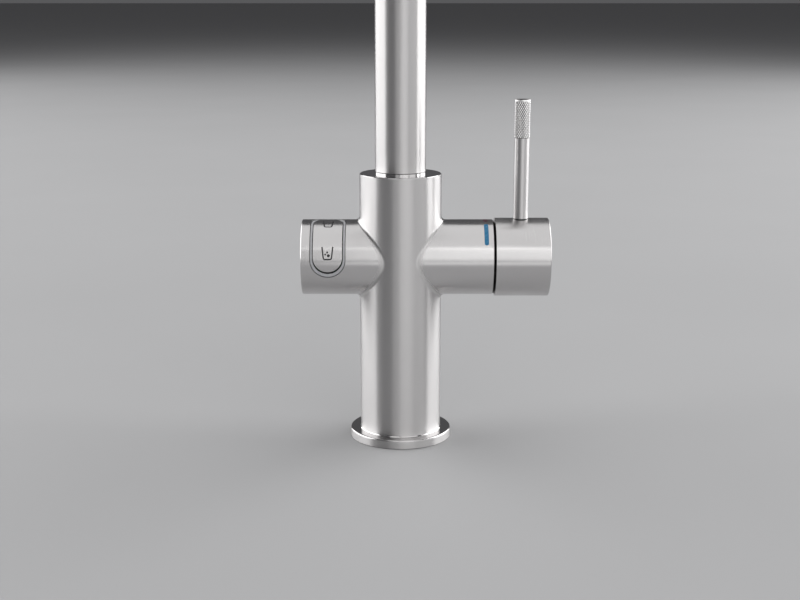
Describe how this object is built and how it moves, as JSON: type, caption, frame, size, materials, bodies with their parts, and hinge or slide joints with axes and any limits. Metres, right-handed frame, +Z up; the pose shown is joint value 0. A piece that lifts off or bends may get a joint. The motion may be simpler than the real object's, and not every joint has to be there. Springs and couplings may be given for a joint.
{
  "type": "water filter kitchen tap",
  "caption": "Deck-mounted swan-neck kitchen mixer tap with a cross-shaped body, side lever on the right arm and a two-way push pad for filtered water on the left arm.",
  "frame": {"origin": "middle of the base at the worktop's top face", "axes": "+Z up along the body and the spout's riser, +X along the right arm towards the mixing lever, -Y towards the person at the sink"},
  "size_m": [0.1368, 0.2425, 0.456],
  "materials": {
    "brushed_body": "one-piece casting, fine brushing round each cylinder",
    "brushed_base": "brushed edge, polished top",
    "brushed_spout": "fine brushing round the tube",
    "bright_steel": "turned and polished",
    "brushed_lever": "brushed hub, knurled pin tip",
    "plain_steel": "plain zinc or stainless",
    "plain_brass": "machined brass",
    "black_rubber": "soft black rubber",
    "water_guide": "glass-filled polymer",
    "bearing_plastic": "low-friction polymer",
    "cartridge_plastic": "acetal",
    "ceramic": "lapped ceramic",
    "cold_blue": "blue enamel",
    "hot_red": "red enamel",
    "outlet_plastic": "grey polymer",
    "pure_tube": "food-grade tube",
    "pad_housing": "black polymer",
    "board": "green solder mask",
    "lamps": "small lamps",
    "light_ring": "pale translucent plastic",
    "button_pad": "thin brushed skin with two marks",
    "signal_lead": "black sheath"
  },
  "bodies": {
    "root": {"body_shell": "brushed_body", "base_ring": "brushed_base", "base_seal": "black_rubber", "threaded_shank": "plain_brass", "water_guide": "water_guide", "hot_inlet": "plain_brass", "cold_inlet": "plain_brass", "filtered_inlet": "plain_brass", "filtered_tube_seal": "black_rubber", "bearing_sleeve": "bearing_plastic", "sleeve_seal": "black_rubber", "spout_foot_ring": "bright_steel", "spout_stop_screw": "plain_steel", "cartridge_base": "cartridge_plastic", "cartridge_port_seals": "black_rubber", "cartridge_housing": "cartridge_plastic", "fixed_ceramic_disc": "ceramic", "cartridge_nut": "plain_brass", "arm_dome_ring": "bright_steel", "cold_mark": "cold_blue", "hot_mark": "hot_red", "end_cap": "bright_steel", "end_cap_seal": "black_rubber", "pad_housing": "pad_housing", "circuit_board": "board", "board_screws": "plain_steel", "board_plug": "pad_housing", "ring_lamps": "lamps", "switch_bodies": "pad_housing", "light_ring": "light_ring", "rocker_pin": "bright_steel", "signal_lead": "signal_lead", "signal_socket": "pad_housing"},
    "spout": {"spout_tube": "brushed_spout", "spout_spigot": "plain_brass", "spigot_seals": "black_rubber", "filtered_water_tube": "pure_tube", "outlet_ring": "outlet_plastic", "spray_former": "outlet_plastic", "outlet_seal": "black_rubber", "filtered_nozzle": "plain_brass"},
    "mixer": {"cartridge_driver": "cartridge_plastic", "lever_pivot_pin": "bright_steel"},
    "disc": {"moving_ceramic_disc": "ceramic", "disc_carrier": "cartridge_plastic"},
    "lever": {"lever_stem": "plain_steel", "lever_hub": "brushed_lever", "hub_grub_screw": "plain_steel", "hub_plug": "bearing_plastic", "pin_collar": "bearing_plastic", "lever_pin": "brushed_lever"},
    "push_pad": {"button_pad": "button_pad", "rocker_frame": "pad_housing"},
    "upper_switch": {"upper_plunger": "pad_housing"},
    "front_switch": {"front_plunger": "pad_housing"},
    "clamp": {"rubber_washer": "black_rubber", "clamp_washer": "plain_steel"},
    "nut": {"clamp_nut": "plain_brass"}
  },
  "joints": [
    {"name": "spout_swivel", "type": "hinge", "parent": "root", "child": "spout", "pos_m": [0, 0, 0], "axis": [0, 0, 1], "range_deg": [-75, 75]},
    {"name": "temperature_turn", "type": "hinge", "parent": "root", "child": "mixer", "pos_m": [0.0353, 0, 0.1037], "axis": [1, 0, 0], "range_deg": [-45, 45]},
    {"name": "lever_tilt", "type": "hinge", "parent": "mixer", "child": "lever", "pos_m": [0.0353, 0, 0.1037], "axis": [0, 1, 0], "range_deg": [0, 25]},
    {"name": "disc_slide", "type": "slide", "parent": "mixer", "child": "disc", "axis": [0, 0, 1], "range_m": [0, 0.00313]},
    {"name": "pad_rock", "type": "hinge", "parent": "root", "child": "push_pad", "pos_m": [-0.0398, -0.01026, 0.11231], "axis": [1, 0, 0], "range_deg": [-1, 1], "stiffness_Nm_per_rad": 2.5},
    {"name": "upper_plunger_travel", "type": "slide", "parent": "root", "child": "upper_switch", "axis": [0, -0.766, 0.6428], "range_m": [-0.0002, 0.0002]},
    {"name": "front_plunger_travel", "type": "slide", "parent": "root", "child": "front_switch", "axis": [0, -0.766, 0.6428], "range_m": [-0.0002, 0.0002]},
    {"name": "clamp_travel", "type": "slide", "parent": "root", "child": "clamp", "axis": [0, 0, 1], "range_m": [-0.022, 0.024]},
    {"name": "nut_spin", "type": "hinge", "parent": "clamp", "child": "nut", "pos_m": [0, 0, 0], "axis": [0, 0, 1], "range_deg": [-5280, 5760]}
  ],
  "couplings": [
    {"joint": "disc_slide", "follows": "lever_tilt", "m_per_rad": 0.0071674},
    {"joint": "upper_plunger_travel", "follows": "pad_rock", "m_per_rad": 0.0113},
    {"joint": "front_plunger_travel", "follows": "pad_rock", "m_per_rad": -0.0113},
    {"joint": "clamp_travel", "follows": "nut_spin", "m_per_rad": 0.00023873}
  ]
}
